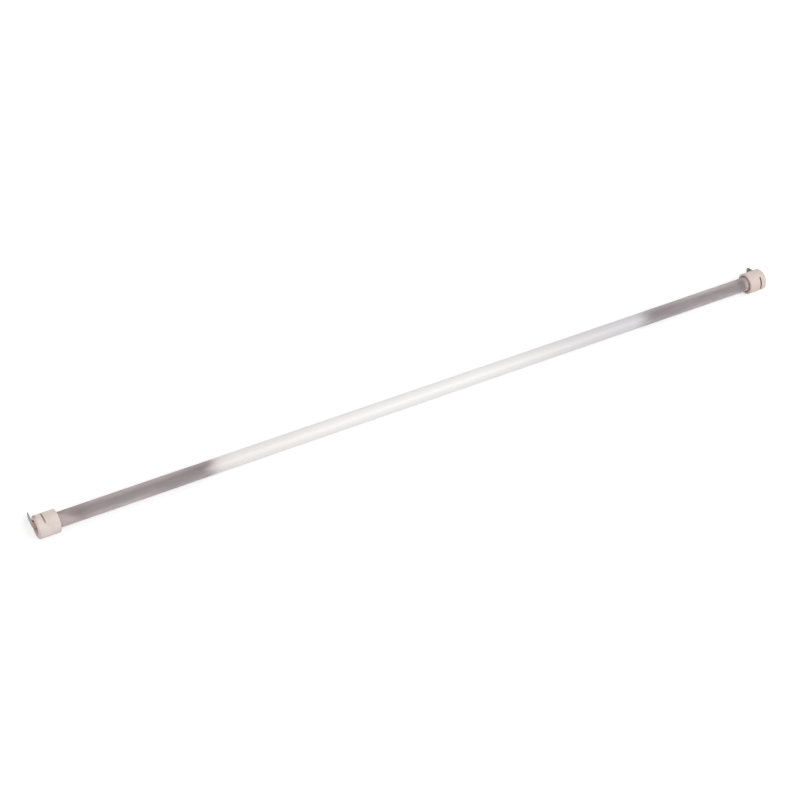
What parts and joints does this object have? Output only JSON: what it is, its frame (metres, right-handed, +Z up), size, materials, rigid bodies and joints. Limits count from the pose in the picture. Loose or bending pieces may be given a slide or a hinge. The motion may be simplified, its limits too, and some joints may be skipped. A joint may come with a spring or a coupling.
{
  "type": "infrared heating lamp",
  "caption": "Slim double-ended quartz-tube infrared heating lamp with a white heated middle, grey cold ends, slotted round ceramic end caps and cranked contact blades.",
  "frame": {"origin": "on the tube's axis, midway between the outer faces of the two end caps", "axes": "+X along the tube towards the right end cap, +Z up as the lamp lies on its caps and the tips of its blades, +Y to the back"},
  "size_m": [0.5512, 0.0215, 0.015],
  "materials": {
    "quartz": "satin, milky",
    "resistance_wire": "bright drawn wire",
    "ceramic": "unglazed, pinkish beige",
    "blade_metal": "nickel plated",
    "pin_metal": "turned, dull"
  },
  "bodies": {
    "root": {"quartz_tube": "quartz", "heating_coil": "resistance_wire", "left_end_cap": "ceramic", "right_end_cap": "ceramic", "left_contact_blade": "blade_metal", "right_contact_blade": "blade_metal", "left_lead_pin": "pin_metal", "right_lead_pin": "pin_metal"}
  },
  "joints": []
}
